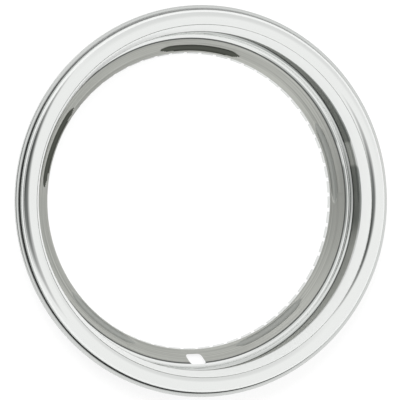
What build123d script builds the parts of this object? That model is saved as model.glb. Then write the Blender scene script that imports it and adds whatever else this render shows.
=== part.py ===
"""Wheel trim ring pressed from one sheet of polished stainless steel.

The ring lies on the tips of its teeth with the polished crown up. Z is its axis and z = 0 is the
plane of the tips. The valve stem hole is at -Y.
"""

import os
from math import atan2, cos, degrees, hypot, radians, sin, tan

from build123d import *

# Driving dimensions, in millimetres and degrees
outer_radius = 200.0  # over the rolled bead
overall_depth = 66.0  # tips of the teeth to the top of the crown
sheet = 0.8  # thickness of the steel

# Rolled bead that stiffens the outer edge, and the narrow groove that parts it from the crown
bead_height = 8.4
bead_width = 2.4
bead_flat = 0.2  # left straight on top, between the bead's two bends
bead_tail = 5.0  # how far the rolled edge turns back in under the bead
bead_foot_bend = 2.2
groove_width = 1.9
groove_depth = 3.0  # below the top of the bead
groove_bend = 0.4

# Crown, the broad polished roll of the face
face_width = 26.5  # bead's outside to the throat
crown_rise = 8.6  # top of the bead to the top of the crown
crown_lean = 1.5  # how far the outer flank leans in, from the groove to the top
crown_flat = 1.6  # left straight on top, between the crown's two bends
crown_outer_bend = 9.7

# Throat, which stands straight inside the wheel rim and flares out to the crown, and the step at its foot
flare_rise = 20.0  # start of the flare to the top of the crown
flare_angle = 17.3  # from the axis
flare_bend = 12.0
step_height = 15.0  # tips of the teeth to the top of the step
step_width = 3.5
step_cove = 2.5  # bend between the throat and the step
step_bend = 1.0  # bend at the inner edge of the step

# Sloping wall, and the toothed lip behind it
wall_width = 13.5  # edge of the step to the crease of the lip, along the radius
lip_height = 5.2  # tips of the teeth to the crease where the lip leaves the wall
lip_rake = 2.1  # how far the lip leans in over its height
lip_bend = 1.5
tooth_count = 60
tooth_gap = 4.0
tooth_length = 4.0
tooth_phase = 2.3  # angle of the first gap

# Long pockets pressed into the back half of the wall
pocket_count = 5
pocket_sweep = 29.0  # angle between the middles of its round ends
pocket_width = 7.4  # across the wall
pocket_depth = 2.2
pocket_margin = 1.6  # crease of the lip to the rim of the pocket
pocket_phase = 15.2  # angle of the middle of the first pocket

# Valve stem hole, a leaning slot with round corners, punched along the axis
valve_angle = -89.4
valve_width = 17.2
valve_height = 11.2
valve_lean = 25.0  # lean of its short sides from the radius
valve_corner = 3.2
valve_inset = 3.6  # edge of the step to the middle of the hole

# Radii and heights of the section's corners
bead_top = overall_depth - crown_rise
bead_foot = bead_top - bead_height
bead_radius = outer_radius - bead_width
groove_floor = bead_top - groove_depth
groove_radius = bead_radius - groove_width
flank_radius = groove_radius - crown_lean
throat_radius = outer_radius - face_width
flare_foot = overall_depth - flare_rise
crown_radius = throat_radius + flare_rise * tan(radians(flare_angle))
step_radius = throat_radius - step_width
crease_radius = step_radius - wall_width
opening_radius = crease_radius - lip_rake
valve_radius = step_radius - valve_inset

# The bends of the bead and the crown fill what the straight lengths beside them leave
bead_bend = (bead_width - bead_flat) / 2
flank_turn = atan2(overall_depth - groove_floor, crown_lean)
outer_reach = crown_outer_bend * tan(flank_turn / 2)
inner_reach = flank_radius - crown_radius - crown_flat - outer_reach
crown_inner_bend = inner_reach / tan(radians(90 - flare_angle) / 2)

# Section along the polished side of the sheet, as (radius, height), from the teeth to the bead
tip_overrun = 2 * sheet  # the lip is drawn past z = 0 and trimmed there
section_corners = [
    (opening_radius - lip_rake * tip_overrun / lip_height, -tip_overrun),
    (crease_radius, lip_height),
    (step_radius, step_height),
    (throat_radius, step_height),
    (throat_radius, flare_foot),
    (crown_radius, overall_depth),
    (flank_radius, overall_depth),
    (groove_radius, groove_floor),
    (bead_radius, groove_floor),
    (bead_radius, bead_top),
    (outer_radius, bead_top),
    (outer_radius, bead_foot),
    (outer_radius - bead_tail, bead_foot),
]
section_bends = [
    lip_bend,
    step_bend,
    step_cove,
    flare_bend,
    crown_inner_bend,
    crown_outer_bend,
    groove_bend,
    groove_bend,
    bead_bend,
    bead_bend,
    bead_foot_bend,
]

# The pocket's section is part of a circle that stands in front of the sloping wall
wall_fall = step_height - lip_height
wall_slope = degrees(atan2(wall_fall, wall_width))
wall_length = hypot(wall_width, wall_fall)
pocket_bend = ((pocket_width / 2) ** 2 + pocket_depth**2) / (2 * pocket_depth)
pocket_stand = pocket_bend - pocket_depth
pocket_share = (pocket_margin + pocket_width / 2) / wall_length
pocket_radius = crease_radius + wall_width * pocket_share - pocket_stand * sin(radians(wall_slope))
pocket_height = lip_height + wall_fall * pocket_share + pocket_stand * cos(radians(wall_slope))
pocket_first = pocket_phase - pocket_sweep / 2
half_ball = (Align.CENTER, Align.MIN, Align.CENTER)  # flat side on the ball's middle

# Corners of the valve stem hole in a frame whose x axis runs out through the hole
valve_offset = valve_height / 2 * tan(radians(valve_lean))
valve_corners = [
    (valve_radius + end * valve_height / 2, end * valve_offset + side * valve_width / 2)
    for end, side in ((-1, -1), (-1, 1), (1, 1), (1, -1))
]


def pocket_form(bend):
    """A round-ended roll along the sloping wall, from angle 0 to pocket_sweep."""
    with BuildPart() as form:
        with BuildSketch(Plane.XZ):
            with Locations((pocket_radius, pocket_height)):
                Circle(bend)
        revolve(axis=Axis.Z, revolution_arc=pocket_sweep)
        for angle, turn in ((0, 180), (pocket_sweep, 0)):
            with PolarLocations(pocket_radius, 1, start_angle=angle):
                with Locations((0, 0, pocket_height)):
                    Sphere(bend, arc_size3=180, rotation=(0, 0, turn), align=half_ball)
    return form.part


# Wedge of space behind the sloping wall, which holds the backs of the pockets
with BuildPart() as wall_back:
    with BuildSketch(Plane.XZ):
        with BuildLine():
            Polyline(
                (crease_radius, lip_height),
                (step_radius, step_height),
                (step_radius, 0),
                (crease_radius, 0),
                close=True,
            )
        make_face()
    revolve(axis=Axis.Z)

# Backs of the pockets, one sheet thicker all round than the hollows pressed into them
with BuildPart() as pocket_backs:
    with PolarLocations(0, pocket_count, start_angle=pocket_first):
        add(pocket_form(pocket_bend + sheet))
    add(wall_back.part, mode=Mode.INTERSECT)

with BuildPart() as trim_ring:
    # One sheet, bent from the teeth up the throat and over the crown to the rolled bead
    with BuildSketch(Plane.XZ):
        with BuildLine():
            FilletPolyline(*section_corners, radius=section_bends)
            offset(amount=sheet, side=Side.RIGHT)
        make_face()
        with Locations((opening_radius, 0)):
            Rectangle(2 * wall_width, 2 * tip_overrun, align=(Align.CENTER, Align.MAX), mode=Mode.SUBTRACT)
    revolve(axis=Axis.Z)

    # Pockets pressed into the wall
    add(pocket_backs.part)
    with PolarLocations(0, pocket_count, start_angle=pocket_first):
        add(pocket_form(pocket_bend), mode=Mode.SUBTRACT)

    # Gaps that part the lip into teeth
    with PolarLocations(opening_radius + lip_rake / 2, tooth_count, start_angle=tooth_phase):
        Box(2 * lip_height, tooth_gap, 2 * tooth_length, mode=Mode.SUBTRACT)

    # Valve stem hole
    with BuildSketch(Plane.XY.rotated((0, 0, valve_angle))) as valve_hole:
        with BuildLine():
            Polyline(*valve_corners, close=True)
        make_face()
        fillet(valve_hole.vertices(), valve_corner)
    extrude(amount=2 * step_height, mode=Mode.SUBTRACT)

trim_ring.part.label = "trim_ring"

os.makedirs("parts", exist_ok=True)
export_step(trim_ring.part, "parts/trim_ring.step")
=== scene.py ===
"""Looks of the wheel trim ring: one spun and pressed sheet of polished steel on a pale floor."""

from math import atan2, cos, hypot, pi, radians, sin, tan

import bmesh
import bpy
from bpy.props import FloatProperty, FloatVectorProperty, IntProperty, PointerProperty
from mathutils import Matrix, Vector


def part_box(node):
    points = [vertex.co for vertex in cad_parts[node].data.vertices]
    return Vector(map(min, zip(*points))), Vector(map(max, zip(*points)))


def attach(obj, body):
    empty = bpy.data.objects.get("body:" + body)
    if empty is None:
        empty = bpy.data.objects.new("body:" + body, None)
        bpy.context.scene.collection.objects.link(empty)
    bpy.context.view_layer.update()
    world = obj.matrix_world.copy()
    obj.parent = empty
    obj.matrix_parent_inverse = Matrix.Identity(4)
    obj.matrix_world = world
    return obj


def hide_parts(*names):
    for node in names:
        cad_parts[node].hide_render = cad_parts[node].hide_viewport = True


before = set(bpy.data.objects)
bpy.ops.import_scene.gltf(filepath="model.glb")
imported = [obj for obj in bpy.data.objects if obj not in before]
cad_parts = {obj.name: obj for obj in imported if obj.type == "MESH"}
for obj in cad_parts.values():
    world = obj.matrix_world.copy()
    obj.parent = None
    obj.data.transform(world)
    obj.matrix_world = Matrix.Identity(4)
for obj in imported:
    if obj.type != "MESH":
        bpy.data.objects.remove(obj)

bl_info = {
    "name": "Wheel Trim Ring",
    "version": (1, 0, 0),
    "blender": (4, 5, 0),
    "location": "View3D > Sidebar > Trim Ring",
    "description": "Models a pressed steel wheel trim ring and the studio that it is shown in",
    "category": "Object",
}

MM = 0.001
RING_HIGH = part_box("trim_ring")[1]

# Mesh rows and columns
COLUMNS_PER_TOOTH = 8
GAP_COLUMNS = 2
BEND_ROWS = {
    "bead_foot": 4,
    "bead_top": 5,
    "groove": 3,
    "crown_outer": 14,
    "crown_inner": 14,
    "flare": 4,
    "cove": 6,
    "step": 4,
    "lip": 4,
}
THROAT_CUTS = 3
POCKET_CUTS = 12
CORNER_ROWS = 6
ROUND_PROFILE = 0.5

# Reach within which a vertex lies at a place, or two vertices become one
NEAR = 0.01 * MM
MERGE_REACH = 0.001 * MM
SMOOTH_ANGLE = radians(32)

# Numbers of the finishes
POLISHED, SATIN, BEAD, THROAT, POCKET, GROOVE, PAINTED_EDGE_SHADE, MILL = range(8)

# Places of a colour mix node's sockets
MIX_FACTOR, MIX_FIRST, MIX_SECOND, MIX_RESULT = 0, 6, 7, 2

# Sides of the ring with a second tone, painted shade on the pockets and the groove and painted reflections on
# the throat: the turn they face, and where along it the tone starts and is full
# Painted shade: the pockets on the upper left, the lamp's side, are darker
PAINTED_SHADE_POCKETS = (radians(128), 0.0, 80 * MM)
# Painted shade: the groove is darker on the lower left
PAINTED_SHADE_GROOVE = (radians(225), -60 * MM, 100 * MM)
# Painted reflections: a short lighter stretch of the throat on the right and a long one on the lower right
PAINTED_THROAT_REFLECTIONS = [
    (radians(16.5), 172.85 * MM, 173.22 * MM),
    (radians(-60), 102 * MM, 126 * MM),
]

# Fine rings on the satin wall: noise steps per metre of radius, its detail and range, and the tones they give
BRUSH_RINGS = 1400.0
BRUSH_DETAIL = 3.0
BRUSH_NOISE = (0.3, 0.7)
BRUSH_TONES = (0.72, 1.18)

# Soft round patches of the room: polar angle, azimuth, inner and outer radius, and tint
ROOM_PATCHES = [
    (radians(86), radians(158), radians(6), radians(37), (0.30, 0.305, 0.30)),
    (radians(68), radians(177), radians(5), radians(38), (0.24, 0.25, 0.245)),
    (radians(44), radians(198), radians(3), radians(28), (0.50, 0.50, 0.50)),
    (radians(80), radians(65), radians(20), radians(65), (0.84, 0.84, 0.84)),
]
FLOOR_ROUGHNESS = 0.9
SENSOR_WIDTH = 36.0
CLIP_END = 100.0


def length(name, description, millimetres):
    """A property that holds a length, with its default in millimetres."""
    return FloatProperty(
        name=name, description=description, default=millimetres * MM, unit="LENGTH", precision=4
    )


def angle(name, description, default):
    """A property that holds an angle, with its default in degrees."""
    return FloatProperty(name=name, description=description, default=radians(default), subtype="ANGLE")


def colour(name, description, default):
    """A property that holds a linear colour."""
    return FloatVectorProperty(name=name, description=description, default=default, subtype="COLOR", size=3)


def share(name, description, default):
    """A property that holds a share from 0 to 1."""
    return FloatProperty(name=name, description=description, default=default, min=0, max=1, subtype="FACTOR")


def level(name, description, default):
    """A property that holds a number of no less than 0."""
    return FloatProperty(name=name, description=description, default=default, min=0)


class RingSizes(bpy.types.PropertyGroup):
    """Sizes of the ring's section, pockets, hole and teeth."""

    outer_radius: length("Outer Radius", "Axis to the outside of the bead", RING_HIGH[0] / MM)
    overall_depth: length("Depth", "Tips of the teeth to the top of the crown", RING_HIGH[2] / MM)
    sheet: length("Sheet", "Thickness of the steel", 0.8)
    bead_height: length("Bead Height", "Height of the rolled bead", 6.0)
    bead_width: length("Bead Width", "Outside of the bead to the groove", 3.6)
    bead_bend: length("Bead Bend", "Radius of the two bends on top of the bead", 1.5)
    bead_foot_bend: length("Bead Foot Bend", "Radius where the bead's edge turns in", 2.2)
    bead_tail: length("Bead Tail", "How far the edge turns in under the bead", 5.0)
    groove_width: length("Groove Width", "Width of the groove beside the bead", 0.85)
    groove_depth: length("Groove Depth", "Top of the bead to the floor of the groove", 1.2)
    groove_bend: length("Groove Bend", "Radius at the floor of the groove", 0.4)
    crown_rise: length("Crown Rise", "Top of the bead to the top of the crown", 11.1)
    crown_lean: length("Crown Lean", "How far the crown's outer flank leans in", 1.6)
    crown_outer_bend: length("Crown Outer Bend", "Radius of the crown towards the bead", 9.2)
    crown_inner_bend: length("Crown Inner Bend", "Radius of the crown towards the throat", 7.2)
    throat_radius: length("Throat Radius", "Axis to the straight throat", 173.5)
    flare_rise: length("Flare Rise", "Start of the throat's flare to the top of the crown", 20.0)
    flare_angle: angle("Flare Angle", "Lean of the flare from the axis", 17.3)
    flare_bend: length("Flare Bend", "Radius where the flare begins", 12.0)
    step_height: length("Step Height", "Tips of the teeth to the top of the step", 15.0)
    step_width: length("Step Width", "Throat to the edge of the step", 4.8)
    step_cove: length("Step Cove", "Radius between throat and step", 2.5)
    step_bend: length("Step Bend", "Radius at the edge of the step", 2.5)
    opening_radius: length("Opening Radius", "Axis to the tips of the teeth", 154.1)
    lip_height: length("Lip Height", "Tips of the teeth to the crease of the lip", 5.2)
    lip_rake: length("Lip Rake", "How far the lip leans in", 1.2)
    lip_bend: length("Lip Bend", "Radius at the crease of the lip", 1.5)
    tooth_length: length("Tooth Length", "Depth of the gaps between the teeth", 4.0)
    tooth_count: IntProperty(name="Teeth", description="Number of teeth round the lip", default=60, min=3)
    tooth_phase: angle("Tooth Phase", "Angle of the middle of the first gap", 2.3)
    pocket_count: IntProperty(name="Pockets", description="Number of pressed pockets", default=5, min=1)
    pocket_phase: angle("Pocket Phase", "Angle of the middle of the first pocket", 15.2)
    pocket_length: length("Pocket Length", "Length along the arc, over the tapered ends", 90.0)
    pocket_width: length("Pocket Width", "Width across the wall", 7.4)
    pocket_taper: length("Pocket Taper", "Length of each tapered end", 16.0)
    pocket_depth: length("Pocket Depth", "Depth below the wall", 2.2)
    pocket_margin: length("Pocket Margin", "Crease of the lip to the pocket", 1.6)
    valve_angle: angle("Valve Angle", "Place of the valve stem hole", -89.4)
    valve_radius: length("Valve Radius", "Axis to the middle of the hole", 165.0)
    valve_width: length("Valve Width", "Width of the hole round the ring", 17.2)
    valve_height: length("Valve Height", "Height of the hole across the wall", 10.2)
    valve_lean: angle("Valve Lean", "Lean of the hole's short sides", 25.0)
    valve_corner: length("Valve Corner", "Radius of the hole's corners", 3.2)


class RingFinish(bpy.types.PropertyGroup):
    """Colours and roughness of the steel, with painted shade and painted reflections on some of its parts."""

    polish_colour: colour("Polished Steel", "Colour of the crown, flare, step and lip", (0.86, 0.87, 0.86))
    polish_roughness: share("Polish", "Roughness of the polished steel", 0.05)
    satin_colour: colour("Satin Steel", "Colour of the sloping wall", (0.50, 0.505, 0.475))
    satin_roughness: share("Satin", "Roughness of the wall", 0.42)
    satin_metal: share("Satin Metal", "How metallic the wall looks", 0.75)
    bead_colour: colour("Bead Steel", "Colour of the rolled bead", (0.66, 0.67, 0.66))
    bead_roughness: share("Bead", "Roughness of the rolled bead", 0.2)
    # Painted reflections: the throat's dark tone and its lighter stretches stand in for what the polished
    # throat mirrors
    throat_painted_dark: colour("Throat Steel", "Dark tone of the straight throat", (0.25, 0.265, 0.255))
    throat_painted_light: colour("Light Throat Steel", "Tone of the throat's lighter stretches", (0.62, 0.63, 0.62))
    throat_roughness: share("Throat", "Roughness of the straight throat", 0.07)
    # Painted shade: a dark line along the edge of the step
    step_edge_shade_colour: colour("Step Edge Painted Shade", "Tone of the line along the edge of the step", (0.13, 0.135, 0.13))
    pocket_colour: colour("Pocket Steel", "Colour inside the light pockets", (0.40, 0.41, 0.39))
    # Painted shade in the pockets on the lamp's side of the ring, where the crown keeps the lamp off them
    pocket_painted_shade: colour("Pocket Painted Shade", "Colour inside the dark pockets", (0.095, 0.10, 0.085))
    pocket_roughness: share("Pocket", "Roughness inside the pockets", 0.5)
    # The groove's grey is partly its dull finish and partly painted shade in the crease
    groove_colour: colour("Groove Steel", "Colour of the groove on its light side", (0.50, 0.50, 0.50))
    # Painted shade on the groove's lower left side
    groove_painted_shade: colour("Groove Painted Shade", "Colour of the groove on its dark side", (0.09, 0.09, 0.09))
    groove_roughness: share("Groove", "Roughness of the groove", 0.5)
    back_colour: colour("Mill Steel", "Colour of the unpolished back", (0.50, 0.51, 0.50))
    back_roughness: share("Mill", "Roughness of the back", 0.38)


class StudioSettings(bpy.types.PropertyGroup):
    """The camera, the floor and the light."""

    camera_distance: length("Camera Distance", "Camera to the middle of the ring's face", 2000.0)
    camera_tilt: angle("Camera Tilt", "Angle between the view and the ring's axis", 18.6)
    camera_turn: angle("Camera Turn", "Direction that the camera leans to, round the axis", 178.4)
    camera_lens: level("Lens", "Focal length in millimetres", 176.7)
    aim_x: length("Aim X", "Point of the ring's face that the camera looks at, to the right", -8.9)
    aim_y: length("Aim Y", "Point of the ring's face that the camera looks at, upwards", 1.2)
    face_height: length("Face Height", "Height of the point that the camera turns about", 58.0)
    floor_size: length("Floor Size", "Side of the square floor", 12000.0)
    floor_colour: colour("Floor", "Colour of the pale floor", (0.80, 0.80, 0.80))
    floor_white: share("Floor White", "How far the camera sees the floor lifted to white", 0.72)
    floor_glow: level("Floor Glow", "Brightness of the white that the camera sees", 1.12)
    shade_colour: colour("Floor Shade", "Colour that the steel mirrors far to the left", (0.25, 0.25, 0.25))
    shade_x: length("Shade X", "Middle of the shaded floor, to the right", -700.0)
    shade_y: length("Shade Y", "Middle of the shaded floor, upwards", 60.0)
    shade_inner: length("Shade Inner", "Radius of the darkest part of the shaded floor", 250.0)
    shade_outer: length("Shade Outer", "Radius where the shaded floor ends", 420.0)
    lamp_turn: angle("Lamp Turn", "Direction that the key lamp stands in, round the axis", 135.0)
    lamp_height: angle("Lamp Height", "Angle of the key lamp over the floor", 58.0)
    lamp_distance: length("Lamp Distance", "Key lamp to the ring", 6000.0)
    lamp_size: length("Lamp Size", "Side of the square key lamp", 1900.0)
    lamp_power: level("Lamp Power", "Power of the key lamp in watts", 207.0)
    room_colour: colour("Room", "Colour of the pale room round the ring", (0.96, 0.965, 0.96))
    room_strength: level("Room Light", "Brightness of the room", 1.0)


def deselect_everything():
    """Leave edit mode with nothing selected and nothing active."""
    if bpy.context.object and bpy.context.object.mode != "OBJECT":
        bpy.ops.object.mode_set(mode="OBJECT")
    bpy.ops.object.select_all(action="DESELECT")
    bpy.context.view_layer.objects.active = None


def select_vertices(piece, wanted):
    """Select the vertices of the piece in edit mode whose place satisfies wanted."""
    mesh = bmesh.from_edit_mesh(piece.data)
    for vertex in mesh.verts:
        vertex.select_set(wanted(vertex.co))
    mesh.select_flush_mode()
    bmesh.update_edit_mesh(piece.data)


def select_near(piece, *points):
    """Select the vertices of the piece that lie at the given points."""
    select_vertices(piece, lambda place: any((place - point).length < NEAR for point in points))


def draw_chain(piece, points):
    """Turn a fresh plane into an open chain of edges through the points."""
    bpy.ops.object.mode_set(mode="EDIT")
    bpy.ops.mesh.select_mode(type="VERT")
    bpy.ops.mesh.select_all(action="SELECT")
    bpy.ops.mesh.merge(type="CENTER")
    bpy.ops.transform.translate(value=points[0])
    for last, point in zip(points, points[1:]):
        bpy.ops.mesh.extrude_region_move(TRANSFORM_OT_translate={"value": point - last})


def round_corner(piece, before, corner, after, bend, rows):
    """Bevel one corner of a chain to an arc of the given radius."""
    incoming = (corner - before).normalized()
    outgoing = (after - corner).normalized()
    select_near(piece, corner)
    bpy.ops.mesh.bevel(
        offset_type="OFFSET",
        offset=bend * tan(incoming.angle(outgoing) / 2),
        segments=rows,
        profile=ROUND_PROFILE,
        affect="VERTICES",
    )


def apply_modifier(piece, kind, name, **settings):
    """Add one modifier with the given settings and apply it."""
    modifier = piece.modifiers.new(name, kind)
    for key, value in settings.items():
        setattr(modifier, key, value)
    bpy.ops.object.modifier_apply(modifier=modifier.name)


class RingSection:
    """Corners of the ring's section and places on it, as radius and height in metres."""

    def __init__(self, sizes):
        s = sizes
        bead_top = s.overall_depth - s.crown_rise
        bead_foot = bead_top - s.bead_height
        groove_floor = bead_top - s.groove_depth
        bead_radius = s.outer_radius - s.bead_width
        groove_radius = bead_radius - s.groove_width
        flare_foot = s.overall_depth - s.flare_rise
        crown_radius = s.throat_radius + s.flare_rise * tan(s.flare_angle)
        step_radius = s.throat_radius - s.step_width
        crease_radius = s.opening_radius + s.lip_rake
        tooth_root_radius = s.opening_radius + s.lip_rake * s.tooth_length / s.lip_height
        # The back of the raked lip reaches lower than its polished side, and rests on the floor
        tip_height = s.sheet * s.lip_rake / hypot(s.lip_rake, s.lip_height)

        self.crease = Vector((crease_radius, s.lip_height))
        self.step_edge = Vector((step_radius, s.step_height))
        self.wall_up = (self.step_edge - self.crease).normalized()
        self.pocket_back = self.crease + self.wall_up * s.pocket_margin
        self.pocket_front = self.pocket_back + self.wall_up * s.pocket_width

        # Limits of the finishes
        self.groove_inner = groove_radius - s.groove_bend
        self.groove_outer = bead_radius + s.bead_bend / 4
        self.groove_top = groove_floor + s.groove_bend
        # Width of the painted shade along the edge of the step
        self.step_edge_shade_reach = s.step_bend * tan(self.wall_up.angle(Vector((1, 0))) / 2)
        self.throat_foot = s.step_height + 3 * s.step_cove

        # Each corner is its radius, its height, its bend and the rows of the bend
        self.corners = [
            (s.outer_radius - s.bead_tail, bead_foot, 0, 0),
            (s.outer_radius, bead_foot, s.bead_foot_bend, BEND_ROWS["bead_foot"]),
            (s.outer_radius, bead_top, s.bead_bend, BEND_ROWS["bead_top"]),
            (bead_radius, bead_top, s.bead_bend, BEND_ROWS["bead_top"]),
            (bead_radius, groove_floor, s.groove_bend, BEND_ROWS["groove"]),
            (groove_radius, groove_floor, s.groove_bend, BEND_ROWS["groove"]),
            (groove_radius - s.crown_lean, s.overall_depth, s.crown_outer_bend, BEND_ROWS["crown_outer"]),
            (crown_radius, s.overall_depth, s.crown_inner_bend, BEND_ROWS["crown_inner"]),
            (s.throat_radius, flare_foot, s.flare_bend, BEND_ROWS["flare"]),
            (s.throat_radius, s.step_height, s.step_cove, BEND_ROWS["cove"]),
            (step_radius, s.step_height, s.step_bend, BEND_ROWS["step"]),
            (self.pocket_front.x, self.pocket_front.y, 0, 0),
            (self.pocket_back.x, self.pocket_back.y, 0, 0),
            (crease_radius, s.lip_height, s.lip_bend, BEND_ROWS["lip"]),
            (tooth_root_radius, s.tooth_length, 0, 0),
            (s.opening_radius, tip_height, 0, 0),
        ]


def turned(radius, height, turn):
    """A point of the section, at an angle round the ring's axis."""
    return Vector((radius * cos(turn), radius * sin(turn), height))


def draw_section(ring, sizes, section, start):
    """Draw the polished side of the sheet as a chain of edges, round its bends and cut it into rows."""
    points = [turned(radius, height, start) for radius, height, bend, rows in section.corners]
    draw_chain(ring, points)
    for index, (radius, height, bend, rows) in enumerate(section.corners):
        if bend:
            round_corner(ring, points[index - 1], points[index], points[index + 1], bend, rows)
    select_vertices(
        ring,
        lambda place: abs(hypot(place.x, place.y) - sizes.throat_radius) < NEAR
        and sizes.step_height < place.z < sizes.overall_depth,
    )
    bpy.ops.mesh.subdivide(number_cuts=THROAT_CUTS)
    select_near(ring, *(turned(end.x, end.y, start) for end in (section.pocket_front, section.pocket_back)))
    bpy.ops.mesh.subdivide(number_cuts=POCKET_CUTS)


def pocket_weight(place, sizes, section):
    """Depth of the pressed pockets at one point of the wall, as a share of the full depth."""
    radius = hypot(place.x, place.y)
    across = Vector((radius, place.z)) - section.crease
    along_wall = across.dot(section.wall_up)
    off_wall = across.x * section.wall_up.y - across.y * section.wall_up.x
    if abs(off_wall) > sizes.sheet / 2:
        return 0.0
    pitch = 2 * pi / sizes.pocket_count
    turn = (atan2(place.y, place.x) - sizes.pocket_phase + pitch / 2) % pitch - pitch / 2
    half_width = sizes.pocket_width / 2
    taper_start = sizes.pocket_length / 2 - sizes.pocket_taper
    beyond = max(0.0, abs(turn) * radius - taper_start) * half_width / sizes.pocket_taper
    reach = hypot(beyond, along_wall - sizes.pocket_margin - half_width)
    if reach >= half_width:
        return 0.0
    bend = (half_width**2 + sizes.pocket_depth**2) / (2 * sizes.pocket_depth)
    return ((bend**2 - reach**2) ** 0.5 - bend + sizes.pocket_depth) / sizes.pocket_depth


def press_pockets(ring, sizes, section):
    """Press the long pockets into the sloping wall."""
    group = ring.vertex_groups.new(name="pockets")
    for vertex in ring.data.vertices:
        weight = pocket_weight(vertex.co, sizes, section)
        if weight:
            group.add([vertex.index], weight, "REPLACE")
    apply_modifier(
        ring,
        "DISPLACE",
        "Pockets",
        strength=-sizes.pocket_depth,
        mid_level=0.0,
        direction="NORMAL",
        vertex_group=group.name,
    )
    ring.vertex_groups.clear()


def cut_teeth(ring, sizes, start, gap):
    """Take out the faces of the lip that stand in the gaps between the teeth."""
    pitch = 2 * pi / sizes.tooth_count
    mesh = bmesh.from_edit_mesh(ring.data)
    for face in mesh.faces:
        middle = face.calc_center_median()
        in_gap = (atan2(middle.y, middle.x) - start) % pitch < gap
        on_teeth = middle.z < sizes.tooth_length and hypot(middle.x, middle.y) < sizes.throat_radius
        face.select_set(in_gap and on_teeth)
    bmesh.update_edit_mesh(ring.data)
    bpy.ops.mesh.delete(type="FACE")


def cut_valve_hole(ring, sizes):
    """Punch the valve stem hole along the axis."""
    deselect_everything()
    bpy.ops.mesh.primitive_plane_add(size=1.0)
    punch = bpy.context.object
    punch.name = "valve_punch"
    offset = sizes.valve_height / 2 * tan(sizes.valve_lean)
    turn = Matrix.Rotation(sizes.valve_angle, 4, "Z")
    bpy.ops.object.mode_set(mode="EDIT")
    mesh = bmesh.from_edit_mesh(punch.data)
    for vertex in mesh.verts:
        end = 1 if vertex.co.x > 0 else -1
        side = 1 if vertex.co.y > 0 else -1
        outwards = sizes.valve_radius + end * sizes.valve_height / 2
        sideways = end * offset + side * sizes.valve_width / 2
        vertex.co = turn @ Vector((outwards, sideways, 0))
    bmesh.update_edit_mesh(punch.data)
    bpy.ops.mesh.select_all(action="SELECT")
    bpy.ops.mesh.bevel(
        offset_type="OFFSET",
        offset=sizes.valve_corner,
        segments=CORNER_ROWS,
        affect="VERTICES",
    )
    bpy.ops.mesh.select_all(action="SELECT")
    bpy.ops.mesh.extrude_region_move(TRANSFORM_OT_translate={"value": (0, 0, 2 * sizes.step_height)})
    bpy.ops.mesh.select_all(action="SELECT")
    bpy.ops.mesh.normals_make_consistent(inside=False)
    deselect_everything()
    ring.select_set(True)
    bpy.context.view_layer.objects.active = ring
    apply_modifier(ring, "BOOLEAN", "Valve hole", object=punch, operation="DIFFERENCE", solver="EXACT")
    bpy.data.objects.remove(punch)


def add_node(tree, kind, **options):
    """Add a node and set its options."""
    node = tree.nodes.new(kind)
    for key, value in options.items():
        setattr(node, key, value)
    return node


def feed(tree, socket, source):
    """Give a socket another node's output, or a plain value."""
    if isinstance(source, bpy.types.NodeSocket):
        tree.links.new(source, socket)
    else:
        socket.default_value = source


def vector_math(tree, operation, first, second=None):
    """Add one step of vector arithmetic and return its node."""
    node = add_node(tree, "ShaderNodeVectorMath", operation=operation)
    feed(tree, node.inputs[0], first)
    if second is not None:
        feed(tree, node.inputs[1], second)
    return node


def number_math(tree, operation, first, second):
    """Add one step of arithmetic and return its result."""
    node = add_node(tree, "ShaderNodeMath", operation=operation)
    feed(tree, node.inputs[0], first)
    feed(tree, node.inputs[1], second)
    return node.outputs["Value"]


def object_place(tree):
    """The place on the piece, in its own coordinates."""
    return tree.nodes.new("ShaderNodeTexCoord").outputs["Object"]


def camera_ray(tree):
    """1 where the camera looks straight at the surface, and 0 elsewhere."""
    return tree.nodes.new("ShaderNodeLightPath").outputs["Is Camera Ray"]


def soft_edge(tree, value, low, high):
    """A factor that rises smoothly from 0 to 1 as the value goes from low to high."""
    edge = add_node(tree, "ShaderNodeMapRange", interpolation_type="SMOOTHSTEP")
    edge.inputs["From Min"].default_value = low
    edge.inputs["From Max"].default_value = high
    feed(tree, edge.inputs["Value"], value)
    return edge.outputs["Result"]


def mix_colour(tree, factor, first, second, blend="MIX"):
    """Mix two colours and return the result."""
    mix = add_node(tree, "ShaderNodeMix", data_type="RGBA", blend_type=blend)
    feed(tree, mix.inputs[MIX_FACTOR], factor)
    feed(tree, mix.inputs[MIX_FIRST], first)
    feed(tree, mix.inputs[MIX_SECOND], second)
    return mix.outputs[MIX_RESULT]


def metal(name, base, roughness, metallic=1.0):
    """A node material for bare steel."""
    material = bpy.data.materials.new(name)
    material.use_nodes = True
    shader = material.node_tree.nodes["Principled BSDF"]
    shader.inputs["Base Color"].default_value = (*base, 1)
    shader.inputs["Metallic"].default_value = metallic
    shader.inputs["Roughness"].default_value = roughness
    return material


def paint_side_tone(material, other, turn, low, high):
    """Give the side of the ring that faces the turn another colour: painted shade on the pockets and the
    groove, painted reflections on the throat.
    """
    tree = material.node_tree
    base = tree.nodes["Principled BSDF"].inputs["Base Color"]
    before = base.links[0].from_socket if base.is_linked else tuple(base.default_value)
    along = vector_math(tree, "DOT_PRODUCT", object_place(tree), (cos(turn), sin(turn), 0))
    factor = soft_edge(tree, along.outputs["Value"], low, high)
    feed(tree, base, mix_colour(tree, factor, before, (*other, 1)))


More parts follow.
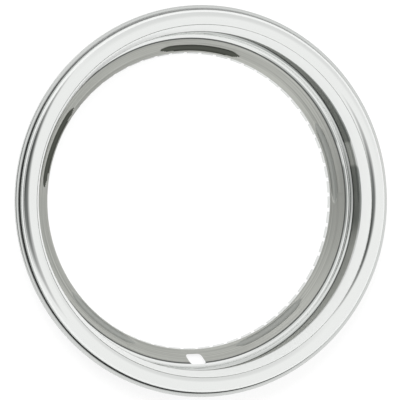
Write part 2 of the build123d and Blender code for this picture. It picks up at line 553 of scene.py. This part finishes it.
def brush(material):
    """Give the steel the fine rings that turning and polishing leave, as a change of its colour."""
    tree = material.node_tree
    base = tree.nodes["Principled BSDF"].inputs["Base Color"]
    flat = vector_math(tree, "MULTIPLY", object_place(tree), (1, 1, 0)).outputs["Vector"]
    radius = vector_math(tree, "LENGTH", flat).outputs["Value"]
    heading = vector_math(tree, "NORMALIZE", flat).outputs["Vector"]
    lift = tree.nodes.new("ShaderNodeCombineXYZ")
    feed(tree, lift.inputs["Z"], number_math(tree, "MULTIPLY", radius, BRUSH_RINGS))
    place = vector_math(tree, "ADD", heading, lift.outputs["Vector"]).outputs["Vector"]
    noise = tree.nodes.new("ShaderNodeTexNoise")
    noise.inputs["Scale"].default_value = 1.0
    noise.inputs["Detail"].default_value = BRUSH_DETAIL
    feed(tree, noise.inputs["Vector"], place)
    tone = tree.nodes.new("ShaderNodeMapRange")
    tone.inputs["From Min"].default_value, tone.inputs["From Max"].default_value = BRUSH_NOISE
    tone.inputs["To Min"].default_value, tone.inputs["To Max"].default_value = BRUSH_TONES
    feed(tree, tone.inputs["Value"], noise.outputs["Fac"])
    brushed = mix_colour(tree, 1.0, tuple(base.default_value), tone.outputs["Result"], "MULTIPLY")
    feed(tree, base, brushed)


def steel_finishes():
    """The finishes of the sheet, in the order of their numbers."""
    finish = bpy.context.scene.ring_finish
    satin = metal("satin_steel", finish.satin_colour, finish.satin_roughness, finish.satin_metal)
    brush(satin)
    throat = metal("throat_painted_reflections", finish.throat_painted_dark, finish.throat_roughness)
    # The throat's dark tone and its lighter stretches are painted reflections
    for stretch in PAINTED_THROAT_REFLECTIONS:
        paint_side_tone(throat, finish.throat_painted_light, *stretch)
    pocket = metal("pocket_steel_painted_shade", finish.pocket_colour, finish.pocket_roughness, finish.satin_metal)
    # Painted shade on the pockets of the upper left side
    paint_side_tone(pocket, finish.pocket_painted_shade, *PAINTED_SHADE_POCKETS)
    groove = metal("groove_steel_painted_shade", finish.groove_colour, finish.groove_roughness)
    # Painted shade on the lower left side of the groove
    paint_side_tone(groove, finish.groove_painted_shade, *PAINTED_SHADE_GROOVE)
    return [
        metal("polished_steel", finish.polish_colour, finish.polish_roughness),
        satin,
        metal("bead_steel", finish.bead_colour, finish.bead_roughness),
        throat,
        pocket,
        groove,
        # Painted shade along the edge of the step
        metal("step_edge_painted_shade", finish.step_edge_shade_colour, finish.satin_roughness, finish.satin_metal),
        metal("mill_steel", finish.back_colour, finish.back_roughness),
    ]


class TRIMRING_OT_sheet(bpy.types.Operator):
    """Model the ring from one spun sheet of steel"""

    bl_idname = "trimring.sheet"
    bl_label = "Pressed Sheet"

    def execute(self, context):
        sizes = context.scene.ring_sizes
        section = RingSection(sizes)
        gap = 2 * pi / sizes.tooth_count * GAP_COLUMNS / COLUMNS_PER_TOOTH
        start = sizes.tooth_phase - gap / 2

        deselect_everything()
        bpy.ops.mesh.primitive_plane_add(size=1.0)
        ring = context.object
        ring.name = "ring_sheet"
        draw_section(ring, sizes, section, start)
        self.spin_section(ring, COLUMNS_PER_TOOTH * sizes.tooth_count)
        cut_teeth(ring, sizes, start, gap)
        bpy.ops.object.mode_set(mode="OBJECT")

        for material in steel_finishes():
            ring.data.materials.append(material)
        self.paint(ring, sizes, section)
        press_pockets(ring, sizes, section)
        apply_modifier(
            ring,
            "SOLIDIFY",
            "Sheet",
            thickness=sizes.sheet,
            offset=-1.0,
            use_even_offset=True,
            use_quality_normals=True,
            material_offset=MILL,
        )
        cut_valve_hole(ring, sizes)
        bpy.ops.object.shade_smooth_by_angle(angle=SMOOTH_ANGLE)

        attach(ring, "root")
        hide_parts("trim_ring")
        return {"FINISHED"}

    def spin_section(self, ring, columns):
        """Spin the section round the axis, with its polished side up at the crown."""
        bpy.ops.mesh.select_all(action="SELECT")
        bpy.ops.mesh.spin(steps=columns, angle=2 * pi, center=(0, 0, 0), axis=(0, 0, 1))
        bpy.ops.mesh.select_all(action="SELECT")
        bpy.ops.mesh.remove_doubles(threshold=MERGE_REACH)
        bpy.ops.mesh.normals_make_consistent(inside=False)
        mesh = bmesh.from_edit_mesh(ring.data)
        top = max(mesh.faces, key=lambda face: face.calc_center_median().z)
        if top.normal.z < 0:
            bpy.ops.mesh.select_all(action="SELECT")
            bpy.ops.mesh.flip_normals()

    def paint(self, ring, sizes, section):
        """Give each stretch of the section its finish. What has no other finish stays polished."""
        for face in ring.data.polygons:
            radius = hypot(face.center.x, face.center.y)
            height = face.center.z
            if radius < section.crease.x:
                face.material_index = POLISHED
            # The dark line along the edge of the step is painted shade
            elif abs(radius - section.step_edge.x) < section.step_edge_shade_reach:
                face.material_index = PAINTED_EDGE_SHADE
            elif radius < section.step_edge.x:
                corners = (ring.data.vertices[index].co for index in face.vertices)
                in_pocket = all(pocket_weight(corner, sizes, section) for corner in corners)
                face.material_index = POCKET if in_pocket else SATIN
            # The groove: a dull grey, partly its finish and partly painted shade in the crease, darker on its
            # lower left side as painted shade
            elif section.groove_inner < radius < section.groove_outer and height < section.groove_top:
                face.material_index = GROOVE
            elif radius > section.groove_outer:
                face.material_index = BEAD
            # The straight throat, with a dark tone and lighter stretches that are painted reflections
            elif abs(radius - sizes.throat_radius) < sizes.sheet / 2 and height > section.throat_foot:
                face.material_index = THROAT


class TRIMRING_OT_studio(bpy.types.Operator):
    """Set up the floor, the light and the camera"""

    bl_idname = "trimring.studio"
    bl_label = "Studio"

    def execute(self, context):
        settings = context.scene.studio
        self.lay_floor(context, settings)
        self.light_room(context, settings)
        self.hang_lamp(context, settings)
        self.place_camera(context, settings)
        context.scene.view_settings.view_transform = "Standard"
        return {"FINISHED"}

    def lay_floor(self, context, settings):
        """Lay the pale floor, which the camera sees lifted towards white."""
        deselect_everything()
        bpy.ops.mesh.primitive_plane_add(size=settings.floor_size)
        floor = context.object
        floor.name = "floor"
        material = bpy.data.materials.new("pale_floor")
        material.use_nodes = True
        tree = material.node_tree
        shader = tree.nodes["Principled BSDF"]
        shader.inputs["Roughness"].default_value = FLOOR_ROUGHNESS
        feed(tree, shader.inputs["Base Color"], self.shade_floor(tree, settings))
        white = tree.nodes.new("ShaderNodeEmission")
        white.inputs["Strength"].default_value = settings.floor_glow
        mix = tree.nodes.new("ShaderNodeMixShader")
        feed(tree, mix.inputs["Fac"], number_math(tree, "MULTIPLY", camera_ray(tree), settings.floor_white))
        feed(tree, mix.inputs[1], shader.outputs["BSDF"])
        feed(tree, mix.inputs[2], white.outputs["Emission"])
        feed(tree, tree.nodes["Material Output"].inputs["Surface"], mix.outputs["Shader"])
        floor.data.materials.append(material)

    def shade_floor(self, tree, settings):
        """The floor's colour, darker far to the left for all but the camera's own view."""
        middle = (settings.shade_x, settings.shade_y, 0)
        away = vector_math(tree, "DISTANCE", object_place(tree), middle).outputs["Value"]
        edge = soft_edge(tree, away, settings.shade_inner, settings.shade_outer)
        clear = number_math(tree, "MAXIMUM", edge, camera_ray(tree))
        return mix_colour(tree, clear, (*settings.shade_colour, 1), (*settings.floor_colour, 1))

    def light_room(self, context, settings):
        """A pale room all round, with soft darker patches that the crown mirrors as bands."""
        world = bpy.data.worlds.new("studio")
        world.use_nodes = True
        tree = world.node_tree
        direction = tree.nodes.new("ShaderNodeTexCoord").outputs["Generated"]
        shade = (*settings.room_colour, 1)
        for polar, azimuth, inner, outer, tint in ROOM_PATCHES:
            middle = (sin(polar) * cos(azimuth), sin(polar) * sin(azimuth), cos(polar))
            towards = vector_math(tree, "DOT_PRODUCT", direction, middle).outputs["Value"]
            factor = soft_edge(tree, towards, cos(outer), cos(inner))
            shade = mix_colour(tree, factor, shade, (*tint, 1), "MULTIPLY")
        room = tree.nodes["Background"]
        feed(tree, room.inputs["Color"], shade)
        room.inputs["Strength"].default_value = settings.room_strength
        context.scene.world = world

    def hang_lamp(self, context, settings):
        """A soft key lamp that lights the floor and the dull parts of the ring from one side."""
        height = settings.lamp_height
        turn = settings.lamp_turn
        lean = Vector((cos(height) * cos(turn), cos(height) * sin(turn), sin(height)))
        deselect_everything()
        bpy.ops.object.light_add(type="AREA", location=lean * settings.lamp_distance)
        lamp = context.object
        lamp.name = "key_lamp"
        lamp.rotation_euler = lean.to_track_quat("Z", "Y").to_euler()
        lamp.data.size = settings.lamp_size
        lamp.data.energy = settings.lamp_power
        lamp.visible_glossy = False

    def place_camera(self, context, settings):
        """Stand the camera over the ring's left side, looking down on its face."""
        bpy.ops.object.camera_add()
        camera = context.object
        camera.name = "photo_camera"
        camera.data.lens = settings.camera_lens
        camera.data.sensor_width = SENSOR_WIDTH
        camera.data.clip_end = CLIP_END
        tilt = settings.camera_tilt
        turn = settings.camera_turn
        lean = Vector((sin(tilt) * cos(turn), sin(tilt) * sin(turn), cos(tilt)))
        place = Vector((0, 0, settings.face_height)) + lean * settings.camera_distance
        aim = Vector((settings.aim_x, settings.aim_y, settings.face_height))
        forward = (aim - place).normalized()
        right = forward.cross(Vector((0, 1, 0))).normalized()
        up = right.cross(forward)
        axes = Matrix((right, up, -forward)).transposed()
        camera.matrix_world = Matrix.Translation(place) @ axes.to_4x4()
        context.scene.camera = camera


class TRIMRING_PT_panel(bpy.types.Panel):
    """Buttons for the ring and its studio"""

    bl_idname = "TRIMRING_PT_panel"
    bl_label = "Trim Ring"
    bl_space_type = "VIEW_3D"
    bl_region_type = "UI"
    bl_category = "Trim Ring"

    def draw(self, context):
        layout = self.layout
        layout.operator("trimring.sheet")
        layout.operator("trimring.studio")
        for group in (context.scene.ring_sizes, context.scene.ring_finish, context.scene.studio):
            box = layout.box()
            for name in group.bl_rna.properties.keys():
                if name not in {"rna_type", "name"}:
                    box.prop(group, name)


CLASSES = (RingSizes, RingFinish, StudioSettings, TRIMRING_OT_sheet, TRIMRING_OT_studio, TRIMRING_PT_panel)


def register():
    for cls in CLASSES:
        bpy.utils.register_class(cls)
    bpy.types.Scene.ring_sizes = PointerProperty(type=RingSizes)
    bpy.types.Scene.ring_finish = PointerProperty(type=RingFinish)
    bpy.types.Scene.studio = PointerProperty(type=StudioSettings)


def unregister():
    del bpy.types.Scene.studio
    del bpy.types.Scene.ring_finish
    del bpy.types.Scene.ring_sizes
    for cls in reversed(CLASSES):
        bpy.utils.unregister_class(cls)


def main():
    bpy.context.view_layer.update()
    register()
    bpy.ops.trimring.sheet()
    bpy.ops.trimring.studio()


if __name__ == "__main__":
    main()
